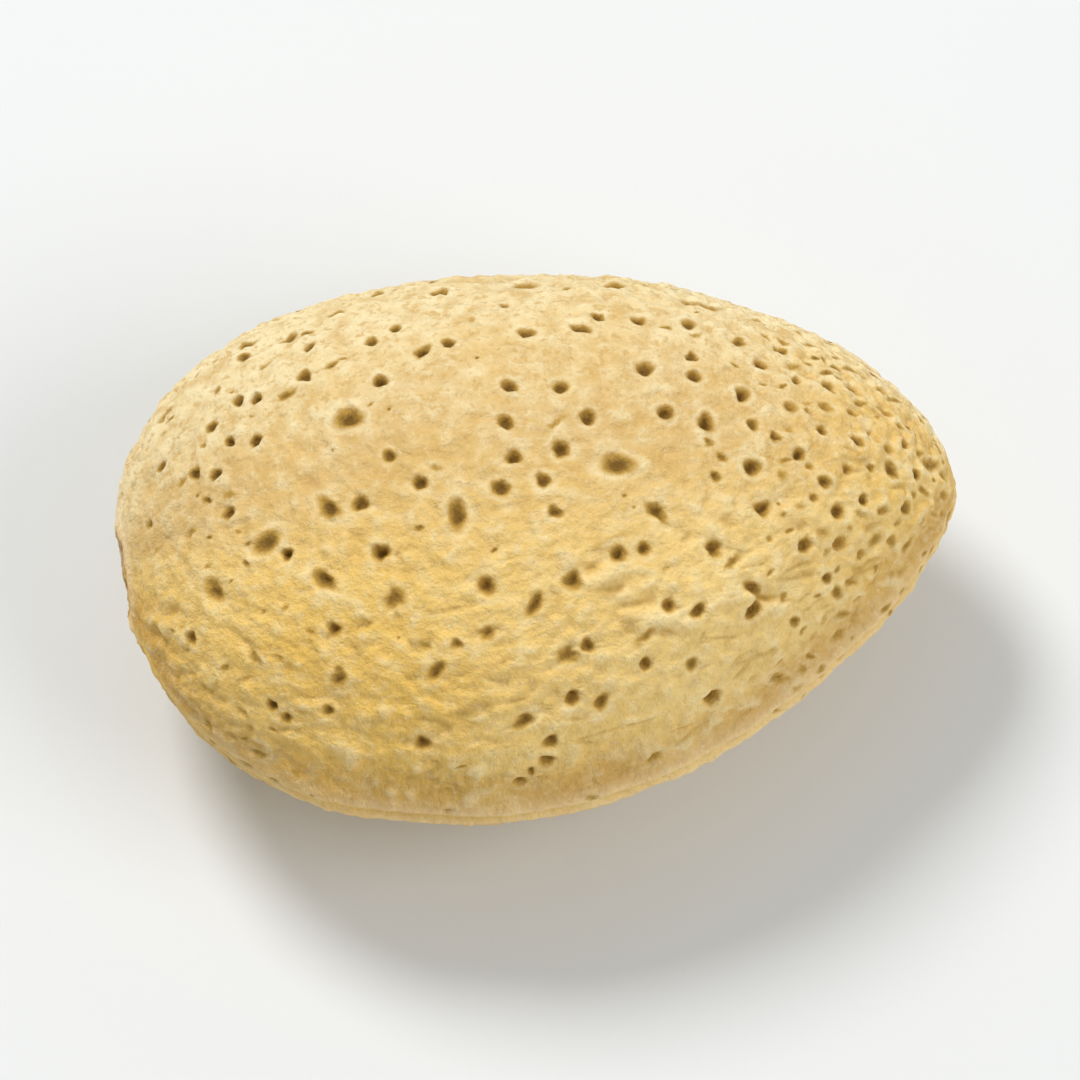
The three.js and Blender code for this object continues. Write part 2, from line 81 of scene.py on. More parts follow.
# The almond, in millimetres. X runs from the stem end to the tip, Y from the keel to the back edge.
# A place on it is a polar angle (0 at the stem end, pi at the tip) and a turn about the long axis
# (0 at the back edge, pi/2 on the upper crown, pi at the keel, -pi/2 underneath).
# A zone is a pair, from where something begins to where it is full: along the nut as shares of the
# length, across it as the cosine of the turn, which is 1 at the back edge and -1 at the keel.
nut = {
    "length": 34.0,
    "reach": {"keel": 12.1, "back": 11.4},  # long axis to each edge
    "rise": {"upper": 8.2, "lower": 8.0},  # long axis to each crown
    "restCut": 0.2,  # taken off the lower crown by the flat spot
    "edgePower": 1.18,  # above 1 the section thins towards both edges
    # stem power (lower is blunter), tip power (higher is sharper) and how much the tip is pinched
    "outline": {"keel": (0.46, 0.65, 0.19), "back": (0.36, 0.47, 0.08), "face": (0.53, 0.66, 0)},
    "pinchFrom": 0.6,  # share of the length where the pinch begins
    # long low swells: height, wave along X, Y and Z, phase
    "swells": [
        (0.05, (0.35, 0.4, 0.2), 1.2),
        (0.045, (-0.3, 0.45, -0.3), 0.4),
        (0.03, (0.75, -0.6, 0.5), 2.1),
    ],

    # Seams on both edges
    "keel": {"rise": 0.52, "spread": 0.95, "groove": 0.26, "grooveSpread": 0.26, "foot": 1.5},
    "back": {"rise": 0.24, "spread": 0.7},
    "seamFade": {"stem": 0.3, "tip": 0.9},  # shares of the length where the seams are at full height
    "seamCalm": {"share": 0.65, "spread": 0.7},  # how much smoother the shell is along both seams
    # a faint broken line where the keel meets the face
    "keelFoot": {
        "at": 1.4, "spread": 0.32, "depth": 0.06, "tone": 0.6,
        "patches": 2.5, "broken": (-0.4, 0.2), "along": (0.75, 0.35),
    },
    # browner shell on both sides of the keel, partly painted shade for the darker keel side: heights where it
    # begins, is full and gives way to the crest
    "keelBrownShadeBand": {"height": (2.7, 1.0), "crest": (0.25, 0.6), "side": (-0.1, -0.6)},
    # pale crests of the seams and of the scar's lip: worn pale edges, with a painted highlight along the
    # seams
    "crest": {
        "keelSpread": 0.6, "groove": 0.9, "back": 0.5, "backSpread": 1.0,
        "lip": 0.6, "lipAt": 1.2, "lipSpread": 0.14,
    },

    # Stem scar, with distances as shares of its size
    "scar": {
        "halfWidth": 1.9, "halfHeight": 1.3, "depth": 0.3, "floor": 0.55,
        "lip": 0.05, "lipAt": 1.12, "lipSpread": 0.2, "nub": 0.2, "nubSpread": 0.3,
    },
    "scarReach": 0.3,  # share of the length beyond which the scar is not felt
    "scarFibres": {
        "count": 23, "rise": 0.05, "waver": 3, "waverSize": 0.9, "at": 0.7, "spread": 0.45, "from": 0.2,
    },
    # brown of the scar, of the furrows and of the keel's groove
    "stain": {
        "edge": (1.08, 0.85), "plain": 0.78, "fibres": 0.22, "nubPaling": 0.5, "nubSpread": 0.22,
        "furrow": 0.5, "groove": 0.15,
    },
    "furrow": {
        "eachFace": 5, "width": 0.42, "shortest": 2.4, "longest": 5.5, "pointGap": 0.1,
        "depth": {"upper": 0.12, "lower": 0.28},
        "start": 2,  # in scar sizes from the middle of the scar
        "fan": (0.4, pi - 0.4),  # turns of the first and last furrow of a face
        "room": (0.25, 0.5),  # where a furrow's own room in the fan starts, and how wide it is
        "rarity": 1.6,  # higher makes long furrows rarer
        "sway": 0.5,  # sideways for a step along, between one side and the other
        "spread": 0.7, "cutOff": 2,  # in widths from its middle
    },

    # Skin: heights and sizes of its waves and marks
    "broad": {"rise": 0.05, "size": 2.6},  # the widest unevenness, which the finish does not follow
    "peel": [(0.09, 0.95), (0.125, 0.5), (0.09, 0.3)],  # like the peel of an orange
    "dimples": {
        "apart": 0.95, "reach": 0.45, "floor": 0.08, "depth": 0.1,
        "share": 0.65, "patches": 1.8, "patchEdge": 0.1,
    },
    # short broken creases that run along the nut, closer together at the tip and towards the keel
    "creases": {
        "long": 3.0, "wide": 0.68, "narrow": 0.16, "depth": 0.08, "girth": 9, "leastSwell": 0.02,
        "patches": 1.2, "broken": (-0.1, 0.25), "amount": (0.35, 1.0),
        "along": (0.6, 0.85), "side": (0.2, -0.5),
    },
    # at the tip
    "wrinkles": {
        "rise": 0.08, "low": 0.2, "long": 1.5, "wide": 0.62, "girth": 6,
        "along": (0.66, 0.9), "fromTip": (1, 0.97),
    },
    # along the keel's side of both faces, towards the stem end
    "growthLines": {
        "rise": 0.045, "apart": 0.9, "girth": 6, "waver": 0.9, "waverSize": 5,
        "along": (0.62, 0.3), "side": (-0.45, -0.75), "tone": 0.65, "toneWave": (-0.3, -0.95),
    },
    # each noise is read from a place of its own, so that no two are alike
    "shifts": {
        "peel": 37, "dimples": 3.3, "dimplePatches": 53, "creases": 23, "creasePatches": 91, "broad": 17,
        "fibres": 11, "growthLines": 71, "keelFoot": 29, "wrinkles": 5,
    },

    # Listed creases (depth, width, tone of painted shade and how far they turn brown) and ridges, whose tone
    # is a painted highlight
    "lines": {"soft": (0.14, 0.25, 0.95, 0.0), "dark": (0.2, 0.17, 1.4, 0.5)},
    "ridges": {"rise": 0.16, "width": 0.34, "tone": 0.09},
    "lineDrawing": {"steps": 60, "taper": 0.5, "cutOff": 2},  # cut off in widths from the line

    # Pits: the rule for those drawn by chance, then what all have
    "pits": {
        "seed": 20419, "tries": 7000, "smallest": 0.24, "largest": 0.46, "gap": 0.36,
        "sizePower": 1.8, "endShrink": 0.3,  # a higher power makes large pits rarer
        "stretch": {"long": 1.2, "power": 4, "atEdge": 0.7},  # a higher power makes long pits rarer
        "spacing": {"face": 1.75, "tip": 1.2, "stem": 1.45, "edge": 2.9},
        "uneven": (0.62, 0.85),  # share of the spacing, and what chance adds to it
        "ends": (0.07, 0.985),  # shares of the length between which they lie
        "shallowShare": 0.22,
        "tipPaling": 0.35,
        "tipZone": (0.66, 0.9), "stemZone": (0.24, 0.08), "edgeZone": (0.62, 0.97),
        "listedTurns": (math.radians(40), math.radians(172)), "listedTip": 0.8,  # what the lists cover
        "restMargin": 0.45,  # height above the flat spot where they begin
    },
    "specks": {
        "seed": 7741, "tries": 2600, "smallest": 0.08, "largest": 0.2, "sizePower": 1.5,
        "ends": (0.03, 0.99),
        "plenty": {"face": 0.08, "tip": 0.85, "stem": 0.3},  # share that is kept, and what the ends add
        "tipZone": (0.68, 0.86), "stemZone": (0.25, 0.08),
        "tipGrowth": 0.25, "growthZone": (0.7, 0.85),
        "stretch": 1.8, "slant": 1.6,
        "darkness": (0.4, 0.5),  # least, and what chance adds to it
        "clearance": (2.2, 0.08),  # from other marks, in radii and then in millimetres
        "scarClear": 1.5, "restMargin": 0.2,
    },
    # depth as a share of the radius, then where the brown, partly painted shade in the hole, begins and where
    # it is full, 1 being the rim
    "pitKinds": {"deep": (1.25, (1.7, 0.15)), "shallow": (0.78, (1.9, 0.0)), "speck": (0.55, (1.7, 0.15))},
    # the same way: the wall from its top to the floor, the pale halo, and where a pit is no longer felt
    "pitProfile": {"wall": (1.4, 0.2), "haloAt": 1.75, "haloSpread": 0.3, "cutOff": 2.0},
    # pits are painted lighter on the keel side and a little darker on the back, partly painted light for the
    # keel side's shade
    "pitDarkness": {"keel": 0.76, "back": 1.05, "side": (-0.6, -0.05)},
    "seamPitDarkness": 0.9,
    # unevenness of a rim: what each number of lobes may add to the radius, less a share that turns it inwards
    "rims": {"pitSeed": 311, "speckSeed": 977, "lobes": {1: 0.1, 2: 0.2, 3: 0.2, 5: 0.1}, "inwards": 0.3},

    # Net of sites that the mesh is joined from
    "net": {
        "points": 80000,  # before the thinning underneath
        "tipCrowding": 0.45,  # how much closer the net is at the tip than at the stem end
        "thinBelow": -0.25,  # sine of the turn below which half of the net is left out
        "scarClear": 1.75, "pitClear": 1.5,  # where the net gives way to rings
        "pitRings": ((0.25, 6), (0.5, 10), (0.75, 13), (0.95, 14), (1.15, 14), (1.4, 14)),  # reach, sites
        "speckRings": ((0.6, 5), (1.25, 7)),
        "scarRings": (0.08, 1.7, 0.075),  # first, last and step
        "scarSites": (16, 34),  # least on a ring, and how many more at the scar's edge
        "lineSites": 26, "lineGap": 0.11,
        "pole": 1e-4,  # polar angle of the site at the stem end
        "siteGap": 0.03,  # the closest that two sites may lie
        "capReach": 0.06,  # angle of the cap that closes the net inside the flat spot
        "capRoom": 1.15,  # how far the net keeps off the cap, as a factor on its reach
        "capCorners": 24,
        "snap": 1e-9,  # how near two places of the flat net count as one
    },
}
net, shifts = nut["net"], nut["shifts"]

# Pits of the upper face: share of the length, turn in degrees, radius,
# then for a long pit its stretch and its slant in degrees (0 along the nut, 90 round it)
deepPits = [
    (0.057, 65, 0.25), (0.073, 130, 0.21, 1.3, 90), (0.095, 77, 0.23, 1.3, 20), (0.119, 81, 0.25),
    (0.139, 73, 0.21), (0.156, 60.5, 0.23), (0.158, 145, 0.24), (0.17, 76, 0.26), (0.177, 63, 0.23),
    (0.192, 106.5, 0.24), (0.232, 113, 0.28, 1.9, 40), (0.236, 62, 0.27), (0.237, 124, 0.27),
    (0.283, 98, 0.29), (0.3, 108.5, 0.31), (0.323, 70, 0.28), (0.323, 89, 0.25), (0.328, 151.5, 0.3),
    (0.351, 134, 0.24, 2, -50), (0.355, 95.5, 0.26), (0.377, 63, 0.23, 1.8, -50), (0.394, 103, 0.29, 2, 90),
    (0.409, 61.5, 0.24), (0.42, 117.5, 0.3, 1.35, 80), (0.448, 98.5, 0.29, 1.2, 30), (0.463, 84.5, 0.29),
    (0.468, 92.5, 0.28), (0.473, 76, 0.28), (0.473, 122.5, 0.27, 1.7, -60), (0.472, 159.5, 0.23, 1.4),
    (0.478, 154, 0.24, 1.3, -30), (0.499, 98, 0.25, 1.2, 60), (0.502, 60.5, 0.27, 1.2), (0.507, 144, 0.29),
    (0.524, 91.5, 0.33), (0.53, 132.5, 0.25, 1.2, 90), (0.534, 76.5, 0.28), (0.541, 146.5, 0.25, 1.5, -55),
    (0.56, 84.5, 0.3), (0.568, 59, 0.21, 1.9, 25), (0.577, 114.5, 0.33), (0.59, 54, 0.22),
    (0.597, 139.5, 0.22, 1.3, 90), (0.608, 114, 0.28), (0.629, 106.5, 0.25, 1.9, 50), (0.63, 127.5, 0.27),
    (0.637, 71, 0.3, 1.2, 90), (0.638, 54, 0.27), (0.654, 83, 0.31), (0.664, 130.5, 0.26, 1.3, -15),
    (0.673, 156, 0.3), (0.691, 117, 0.33), (0.694, 72, 0.27), (0.695, 65.5, 0.22),
    (0.701, 85, 0.29, 1.3, 90), (0.731, 136, 0.24, 1.6, -35), (0.733, 130, 0.22, 1.8, 40),
    (0.748, 97.5, 0.33), (0.749, 75.5, 0.29), (0.755, 109.5, 0.3), (0.777, 63, 0.27), (0.801, 123, 0.31),
    (0.804, 53, 0.22, 1.3, 30), (0.807, 93, 0.23), (0.847, 114.5, 0.3), (0.856, 63.5, 0.22, 1.4, 45),
    (0.87, 49, 0.2), (0.878, 111.5, 0.22), (0.88, 85, 0.25), (0.932, 120, 0.24), (0.948, 96, 0.21),
]
shallowPits = [
    (0.105, 114, 0.28, 1.7, 40), (0.12, 64, 0.24), (0.129, 93.5, 0.24), (0.169, 103, 0.36, 1.4, -20),
    (0.17, 43, 0.24), (0.173, 148, 0.22), (0.222, 143.5, 0.22), (0.224, 44, 0.26, 1.5),
    (0.238, 135, 0.28, 1.5, 80), (0.247, 52, 0.2), (0.247, 98, 0.28, 1.7, 50), (0.281, 78, 0.4, 1.25, 20),
    (0.311, 118, 0.36), (0.319, 56, 0.22), (0.349, 53, 0.2), (0.378, 128.5, 0.2),
    (0.415, 127, 0.23, 1.3, -20), (0.449, 147.5, 0.23, 1.7, -35), (0.506, 134, 0.28, 1.4),
    (0.508, 104.5, 0.25), (0.52, 118.5, 0.35), (0.589, 95.5, 0.36, 1.6, 10), (0.652, 143.5, 0.2, 1.4, -50),
    (0.696, 53.5, 0.26), (0.703, 99.5, 0.2), (0.754, 56, 0.22), (0.756, 84.5, 0.2, 1.3, 90),
    (0.78, 88, 0.2), (0.78, 146, 0.21), (0.824, 137, 0.2), (0.833, 103, 0.21, 1.3),
    (0.835, 145, 0.21, 1.5, 80), (0.839, 83.5, 0.2), (0.918, 96.5, 0.23, 1.4, 50), (0.946, 64.5, 0.2),
]
seamPits = [(0.437, 165.6, 0.18, 1.6), (0.452, 162.5, 0.14)]  # small ones, where a row runs down to the keel

# Creases and low ridges of the upper face: places along each, as share of the length and turn in degrees
creaseLines = {
    "soft": [
        [(0.565, 126.2), (0.585, 125.4), (0.605, 125.6), (0.622, 126.7)],
        [(0.602, 131.8), (0.622, 133.0), (0.643, 135.1)],
        [(0.565, 122.0), (0.583, 121.2)],
        [(0.635, 108.9), (0.653, 111.4), (0.668, 112.9)],
        [(0.526, 117.5), (0.544, 116.8), (0.56, 114.5)],
    ],
    "dark": [  # a fork
        [(0.719, 127.1), (0.729, 128.6), (0.737, 130.8), (0.74, 133.1), (0.75, 134.6), (0.763, 135.2)],
        [(0.739, 133.8), (0.731, 135.4), (0.719, 136.7)],
    ],
}
ridgeLines = [
    [(0.567, 129.3), (0.595, 128.6), (0.621, 130.0), (0.647, 132.4), (0.667, 134.7)],
    [(0.562, 123.6), (0.589, 122.6)],
    [(0.535, 120.0), (0.563, 118.4), (0.583, 117.7)],
]


# The shell without its relief

def alongOf(polar):
    return (1 - np.cos(polar)) / 2


def polarOf(along):
    return np.arccos(1 - 2 * along)


def widestAt(powers):
    return powers[0] / (powers[0] + powers[1])


def swellOf(along, powers):  # half-width of an outline as a share of its widest
    stem, tip, pinch = powers
    widest = widestAt(powers)
    egg = (along / widest) ** stem * ((1 - along) / (1 - widest)) ** tip
    return egg * (1 - pinch * ease(nut["pinchFrom"], 1, along))


def smoothShell(polar, turn):
    along = alongOf(polar)
    side, up = np.cos(turn), np.sin(turn)
    outline = nut["outline"]
    backReach = nut["reach"]["back"] * swellOf(along, outline["back"])
    keelReach = nut["reach"]["keel"] * swellOf(along, outline["keel"])
    crown = np.where(up > 0, nut["rise"]["upper"], nut["rise"]["lower"]) * swellOf(along, outline["face"])
    across = np.where(side > 0, backReach, keelReach) * side
    height = crown * np.sign(up) * np.abs(up) ** nut["edgePower"]
    return np.stack([nut["length"] * along, across, height], axis=-1)


def tangents(polar, turn):  # how the shell moves for a change of polar angle and of turn, and its normal
    step, poleMargin = 1e-3, 0.03
    kept = np.clip(polar, poleMargin, pi - poleMargin)
    along = (smoothShell(kept + step, turn) - smoothShell(kept - step, turn)) / (2 * step)
    across = (smoothShell(kept, turn + step) - smoothShell(kept, turn - step)) / (2 * step)
    normal = np.cross(across, along)
    return along, across, normal / np.linalg.norm(normal, axis=-1, keepdims=True)


def beside(polar, turn, alongMm, acrossMm):  # a place that many millimetres along the nut and round it
    along, across, normal = tangents(polar, turn)
    polarStep = alongMm / np.linalg.norm(along, axis=-1)
    turnStep = acrossMm / np.linalg.norm(across, axis=-1)
    return polar + polarStep, turn + turnStep


def scarShare(points):
    return np.hypot(points[..., 1] / nut["scar"]["halfWidth"], points[..., 2] / nut["scar"]["halfHeight"])


def polarAtScar(share, turn):
    return lastPassing(pi / 2, lambda polar: scarShare(smoothShell(polar, turn)) < share)


restHeight = nut["restCut"] - nut["rise"]["lower"]


# Pits: the listed ones, then the same seeded ones as the solid has on the rest of the shell

def pitAt(along, turn, radius, stretch, slant, kind, dark):
    polar = polarOf(along)
    depth, fade = nut["pitKinds"][kind]
    shade = nut["pitDarkness"]
    return {
        "polar": polar,
        "turn": turn,
        "point": smoothShell(polar, turn),
        "radius": radius,
        "stretch": stretch,
        "slant": slant,
        "depth": depth * radius,
        "fade": fade,
        "dark": dark * blendOf(shade["keel"], shade["back"], ease(*shade["side"], math.cos(turn))),
        "room": radius * stretch + nut["pits"]["gap"],
    }


def listedPits(rows, kind, dark=1.0):
    roundPit = [1, 0]  # stretch and slant where a row gives none
    made = []
    for along, turn, radius, *shape in rows:
        stretch, slant = shape + roundPit[len(shape):]
        made.append(pitAt(along, math.radians(turn), radius, stretch, math.radians(slant), kind, dark))
    return made


def drawnPits(draw, found):
    rule = nut["pits"]
    spacings, stretches = rule["spacing"], rule["stretch"]
    least, extra = rule["uneven"]
    places = [pit["point"] for pit in found]
    rooms = [pit["room"] for pit in found]
    for attempt in range(rule["tries"]):
        along = next(draw)
        turn = 2 * pi * next(draw)
        nearness, size, length, lean, shallowness = [next(draw) for value in range(5)]
        listed = rule["listedTurns"][0] < turn < rule["listedTurns"][1] and along < rule["listedTip"]
        if listed or not rule["ends"][0] <= along <= rule["ends"][1]:
            continue

        tip = ease(*rule["tipZone"], along)
        stem = ease(*rule["stemZone"], along)
        edge = ease(*rule["edgeZone"], abs(math.cos(turn)))
        ends = blendOf(blendOf(spacings["face"], spacings["tip"], tip), spacings["stem"], stem)
        spacing = blendOf(ends, spacings["edge"], edge) * (least + extra * nearness)

        shrink = 1 - rule["endShrink"] * max(tip, stem)
        radius = blendOf(rule["smallest"], rule["largest"], size ** rule["sizePower"]) * shrink
        edgeStretch = stretches["atEdge"] * max(stem, edge) * length
        stretch = 1 + stretches["long"] * length ** stretches["power"] + edgeStretch
        kind = "shallow" if shallowness < rule["shallowShare"] else "deep"
        pit = pitAt(along, turn, radius, stretch, lean - 0.5, kind, 1 - rule["tipPaling"] * tip)
        height = pit["point"][2]
        if abs(height) < nut["keel"]["foot"] + pit["room"] or height < restHeight + rule["restMargin"]:
            continue
        apart = np.linalg.norm(np.array(places) - pit["point"], axis=1)
        if np.all(apart > np.maximum(spacing, pit["room"] + np.array(rooms) - rule["gap"])):
            found.append(pit)
            places.append(pit["point"])
            rooms.append(pit["room"])


def furrowPaths(draw):  # points along each furrow with the depth there
    rule = nut["furrow"]
    roomStart, roomWidth = rule["room"]
    gap = rule["pointGap"]
    points, depths = [], []
    for index in range(2 * rule["eachFace"]):
        face = -1 if index % 2 else 1
        depth = rule["depth"]["upper" if face > 0 else "lower"]
        fan = ((index >> 1) + roomStart + roomWidth * next(draw)) / rule["eachFace"]
        turn = face * blendOf(*rule["fan"], fan)
        span = blendOf(rule["shortest"], rule["longest"], next(draw) ** rule["rarity"])
        sway = rule["sway"] * (next(draw) - 0.5)
        polar = polarAtScar(rule["start"], turn)
        for run in np.arange(0, span, gap):
            share = run / span
            points.append(smoothShell(polar, turn))
            depths.append(depth * math.sin(pi * math.sqrt(share)))
            polar, turn = beside(polar, turn, gap, sway * gap * share)
    return np.array(points), np.array(depths)


# Specks: pinpricks that lie between the pits, most of them near both ends
def drawnSpecks(pits):
    rule = nut["specks"]
    plenty = rule["plenty"]
    leastDark, moreDark = rule["darkness"]
    clearRadii, clearMm = rule["clearance"]
    draw = seededChance(rule["seed"])
    places = np.array([pit["point"] for pit in pits])
    radii = np.array([pit["radius"] * pit["stretch"] for pit in pits])
    specks = []
    for attempt in range(rule["tries"]):
        along, turn, size, length, lean, keep, dark = [next(draw) for value in range(7)]
        turn *= 2 * pi
        wanted = plenty["face"] + plenty["tip"] * ease(*rule["tipZone"], along)
        wanted += plenty["stem"] * ease(*rule["stemZone"], along)
        if keep > wanted or not rule["ends"][0] < along < rule["ends"][1]:
            continue

        growth = 1 + rule["tipGrowth"] * ease(*rule["growthZone"], along)
        radius = blendOf(rule["smallest"], rule["largest"], size ** rule["sizePower"]) * growth
        stretch = 1 + rule["stretch"] * length
        slant = rule["slant"] * (lean - 0.5)
        speck = pitAt(along, turn, radius, stretch, slant, "speck", leastDark + moreDark * dark)
        nearest = np.linalg.norm(places - speck["point"], axis=1) - radii
        tooLow = speck["point"][2] < restHeight + rule["restMargin"]
        if tooLow or nearest.min() < clearRadii * radius + clearMm:
            continue
        if scarShare(speck["point"]) < rule["scarClear"] and along < nut["scarReach"]:
            continue
        specks.append(speck)
        places = np.vstack([places, speck["point"]])
        radii = np.append(radii, radius)
    return specks


def shapePits(pits, seed):  # gives each an uneven rim, and its long and wide directions
    rule = nut["rims"]
    draw = seededChance(seed)
    for pit in pits:
        pit["wobble"] = {lobes: (most * (next(draw) - rule["inwards"]), 2 * pi * next(draw))
                         for lobes, most in rule["lobes"].items()}
        along, across, normal = tangents(pit["polar"], pit["turn"])
        first = along / np.linalg.norm(along)
        second = np.cross(first, normal)
        second = second * np.sign(second @ across)
        cosine, sine = math.cos(pit["slant"]), math.sin(pit["slant"])
        pit["axes"] = (first * cosine + second * sine, second * cosine - first * sine)


def shapeOfRim(pit, angle):  # an uneven outline, as a factor on the radius
    factor = 1.0
    for lobes, (size, phase) in pit["wobble"].items():
        factor = factor + size * np.cos(lobes * angle + phase)
    return factor


def rimShare(pit, points):  # distance from a pit's middle, 1 at its rim
    offset = points - pit["point"]
    long = offset @ pit["axes"][0] / (pit["radius"] * pit["stretch"])
    wide = offset @ pit["axes"][1] / pit["radius"]
    return np.hypot(long, wide) / shapeOfRim(pit, np.arctan2(wide, long))


chance = seededChance(nut["pits"]["seed"])
pits = listedPits(deepPits, "deep") + listedPits(shallowPits, "shallow")
drawnPits(chance, pits)
furrowPoints, furrowDepths = furrowPaths(chance)
pits += listedPits(seamPits, "deep", nut["seamPitDarkness"])
specks = drawnSpecks(pits)
shapePits(pits, nut["rims"]["pitSeed"])
shapePits(specks, nut["rims"]["speckSeed"])
print("pits:", len(pits), "specks:", len(specks), "furrow points:", len(furrowPoints))


# Sites: rings round each pit and the scar, rows along the listed creases, and an even net between them

def ringTurns(ring, count):  # every other ring is half a step round
    return 2 * pi * (np.arange(count) + 0.5 * (ring % 2)) / count


def joinedGroups(groups):
    polars, turns = zip(*groups)
    return np.concatenate(polars), np.concatenate(turns)


def ringSites(pit, rings):
    groups = [(np.array([pit["polar"]]), np.array([pit["turn"]]))]
    for ring, (share, count) in enumerate(rings):
        angle = ringTurns(ring, count)
        reach = pit["radius"] * share * shapeOfRim(pit, angle)
        long, wide = reach * pit["stretch"] * np.cos(angle), reach * np.sin(angle)
        alongMm = long * math.cos(pit["slant"]) - wide * math.sin(pit["slant"])
        acrossMm = long * math.sin(pit["slant"]) + wide * math.cos(pit["slant"])
        groups.append(beside(pit["polar"], pit["turn"], alongMm, acrossMm))
    return joinedGroups(groups)


def scarSites():
    fewest, more = net["scarSites"]
    groups = [(np.array([net["pole"]]), np.array([0.0]))]
    for ring, share in enumerate(np.arange(*net["scarRings"])):
        turn = ringTurns(ring, int(fewest + more * share))
        groups.append((np.array([polarAtScar(share, value) for value in turn]), turn))
    return joinedGroups(groups)


def courseOf(line, count):  # places spread along a listed line
    shares = np.linspace(0, 1, count)
    knots = np.linspace(0, 1, len(line))
    along = np.interp(shares, knots, [place[0] for place in line])
    turn = np.radians(np.interp(shares, knots, [place[1] for place in line]))
    return polarOf(along), turn


def lineSites(line):
    gap = net["lineGap"]
    polar, turn = courseOf(line, net["lineSites"])
    corners = ((gap, gap), (gap, -gap), (-gap, gap), (-gap, -gap))
    return joinedGroups([(polar, turn)] + [beside(polar, turn, *corner) for corner in corners])


def spiralSites():  # a golden-angle spiral, closer together towards the tip
    count, crowding = net["points"], net["tipCrowding"]
    share = (np.arange(count) + 0.5) / count
    along = share * (1 + crowding * (1 - share))
    turn = np.arange(count) * pi * (3 - math.sqrt(5))
    kept = (np.sin(turn) > net["thinBelow"]) | (np.arange(count) % 2 == 0)
    return polarOf(along)[kept], turn[kept]


def treeOf(points):
    tree = kdtree.KDTree(len(points))
    for index, point in enumerate(points):
        tree.insert(point, index)
    tree.balance()
    return tree


def netSites():  # the spiral without what the rings of the scar, the pits and the specks take up
    polar, turn = spiralSites()
    points = smoothShell(polar, turn)
    clear = ~((scarShare(points) < net["scarClear"]) & (alongOf(polar) < nut["scarReach"]))
    tree = treeOf(points)
    for pit in pits + specks:
        reach = net["pitClear"] * pit["radius"] * pit["stretch"]
        for place, index, distance in tree.find_range(pit["point"], reach):
            if rimShare(pit, points[index]) < net["pitClear"]:
                clear[index] = False
    return polar[clear], turn[clear]


def thinned(points, gap):  # keeps each point that has no earlier kept point within the gap
    tree = treeOf(points)
    kept = np.ones(len(points), bool)
    for index, point in enumerate(points):
        if kept[index]:
            for place, other, distance in tree.find_range(point, gap):
                if other > index:
                    kept[other] = False
    return kept


def gatherSites():
    groups = [ringSites(pit, net["pitRings"]) for pit in pits]
    groups += [ringSites(speck, net["speckRings"]) for speck in specks]
    groups += [lineSites(line) for lines in creaseLines.values() for line in lines]
    polar, turn = joinedGroups(groups + [scarSites(), netSites()])
    kept = thinned(smoothShell(polar, turn), net["siteGap"])
    return polar[kept], turn[kept]


# Triangles: the places are laid flat by a projection from inside the flat spot and joined there

def directionsOf(polar, turn):  # the same place on a unit ball
    return np.stack([-np.cos(polar), np.sin(polar) * np.cos(turn), np.sin(polar) * np.sin(turn)], axis=-1)


def joinSites(polar, turn):
    reach, corners = net["capReach"], net["capCorners"]
    middle = directionsOf(polarOf(widestAt(nut["outline"]["face"])), -pi / 2)
    first = np.cross(middle, (0.0, 1.0, 0.0))
    first /= np.linalg.norm(first)
    second = np.cross(middle, first)

    angle = 2 * pi * np.arange(corners) / corners
    circle = np.outer(np.cos(angle), first) + np.outer(np.sin(angle), second)
    cap = math.cos(reach) * middle + math.sin(reach) * circle
    directions = directionsOf(polar, turn)
    outside = directions @ middle < math.cos(reach * net["capRoom"])
    polar = np.concatenate([np.arccos(-cap[:, 0]), polar[outside]])
    turn = np.concatenate([np.arctan2(cap[:, 2], cap[:, 1]), turn[outside]])
    directions = np.concatenate([cap, directions[outside]])

    away = 1 - directions @ middle
    flat = np.stack([directions @ first / away, directions @ second / away], axis=-1)
    made = geometry.delaunay_2d_cdt([Vector(place) for place in flat], [], [], 0, net["snap"])
    triangles, sources = made[2:4]
    order = [indices[0] for indices in sources]
    faces = [[order[corner] for corner in reversed(face)] for face in triangles]  # reversed, to face out
    faces.append(list(range(corners)))
    return polar, turn, faces


# Relief of every vertex. The ground is what all of it is worked out from.

def groundOf(polar, turn):
    along = alongOf(polar)
    points = smoothShell(polar, turn)
    tipFade = ease(1, nut["seamFade"]["tip"], along)
    return {
        "along": along,
        "turn": turn,
        "side": np.cos(turn),
        "points": points,
        "height": points[:, 2],
        "normals": tangents(polar, turn)[2],
        "onBack": points[:, 1] > 0,
        "tipFade": tipFade,
        "ends": ease(0, nut["seamFade"]["stem"], along) * tipFade,
        "fromScar": scarShare(points),
        "byScar": along < nut["scarReach"],
        "tree": treeOf(points),
    }


def noiseOn(points, size, shift):
    return np.array([noise.noise(Vector(point)) for point in points / size + shift])


def strandsOf(ground, girth, rule):  # places for a noise that runs along the nut
    around = [girth * part(ground["turn"]) / rule["wide"] for part in (np.cos, np.sin)]
    return np.stack([ground["points"][:, 0] / rule["long"], *around], axis=-1)


def zonesOf(ground, rule):  # how far each vertex is in a rule's zones along and across the nut
    return ease(*rule["along"], ground["along"]), ease(*rule["side"], ground["side"])


def swellRelief(ground):
    points = ground["points"]
    waves = [rise * np.sin(points @ np.array(wave) + phase) for rise, wave, phase in nut["swells"]]
    return sum(waves) * ground["tipFade"]


def seamRelief(ground):  # with how far each vertex lies in the keel's groove
    keel, back = nut["keel"], nut["back"]
    height, ends, onBack = ground["height"], ground["ends"], ground["onBack"]
    groove = bump(height, keel["grooveSpread"]) * ends * ~onBack
    keelRelief = keel["rise"] * bump(height, keel["spread"]) * ends - keel["groove"] * groove
    return np.where(onBack, ends * back["rise"] * bump(height, back["spread"]), keelRelief), groove


